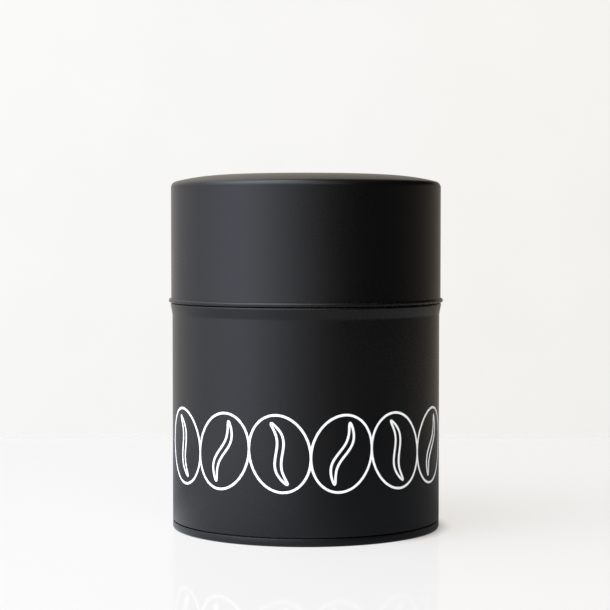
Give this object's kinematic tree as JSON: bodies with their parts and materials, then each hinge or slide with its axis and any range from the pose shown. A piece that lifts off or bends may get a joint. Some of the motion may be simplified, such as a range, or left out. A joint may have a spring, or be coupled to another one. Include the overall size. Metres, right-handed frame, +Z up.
{
  "type": "coffee tin",
  "caption": "Round tinplate coffee tin in matte black, with a slip-over domed lid with a curled hem, a bare neck sleeve, a pressed base and a plug lid with a knob inside.",
  "frame": {"origin": "centre of the flat ring that the tin stands on, at floor level", "axes": "+Z up along the tin's axis, from base to lid; the printed front faces -Y and the side seam is at +Y"},
  "size_m": [0.0932, 0.0932, 0.12],
  "materials": {
    "body_enamel": "matte black coating over rolled tinplate",
    "base_enamel": "matte black coating over pressed tinplate",
    "lid_enamel": "matte black coating over drawn tinplate",
    "bare_tinplate": "bright bare tinplate, rolled",
    "inner_lid_tinplate": "bright bare tinplate, pressed",
    "knob_plastic": "matte black moulded plastic",
    "rivet_metal": "plain aluminium",
    "print_white": "satin white screen-printed line"
  },
  "bodies": {
    "canister": {"body_shell": "body_enamel", "neck_sleeve": "bare_tinplate", "base_cap": "base_enamel"},
    "plug_lid": {"inner_lid": "inner_lid_tinplate", "inner_lid_knob": "knob_plastic", "knob_rivet": "rivet_metal", "knob_washer": "rivet_metal"},
    "outer_lid": {"lid_shell": "lid_enamel"}
  },
  "joints": [
    {"name": "plug_lid_lift", "type": "slide", "parent": "canister", "child": "plug_lid", "axis": [0, 0, 1], "range_m": [0, 0.045]},
    {"name": "outer_lid_lift", "type": "slide", "parent": "plug_lid", "child": "outer_lid", "axis": [0, 0, 1], "range_m": [0, 0.06]}
  ]
}
